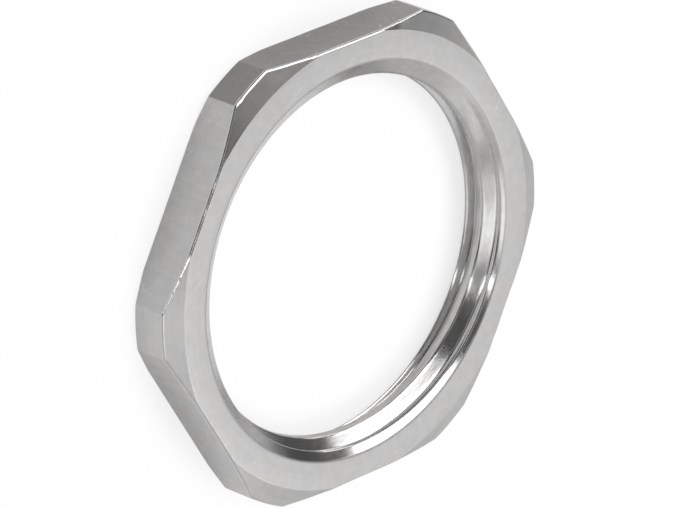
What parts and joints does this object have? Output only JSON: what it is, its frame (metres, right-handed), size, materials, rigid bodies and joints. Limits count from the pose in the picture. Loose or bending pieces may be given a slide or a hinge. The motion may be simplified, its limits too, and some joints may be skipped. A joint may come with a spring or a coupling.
{
  "type": "hexagonal locknut",
  "caption": "Thin hexagonal locknut with a fine metric thread, turned corners and chamfered faces, for clamping a gland or conduit fitting to a panel.",
  "frame": {"origin": "centre of the thread axis in the plane of the bearing face, which the nut lies on", "axes": "+Z along the thread axis, from the bearing face to the more heavily chamfered face; +X through two opposite corners"},
  "size_m": [0.0252, 0.023, 0.0026],
  "materials": {
    "nickel_plated_brass": "turned and drawn brass with a satin nickel plating"
  },
  "bodies": {
    "root": {"locknut": "nickel_plated_brass"}
  },
  "joints": []
}
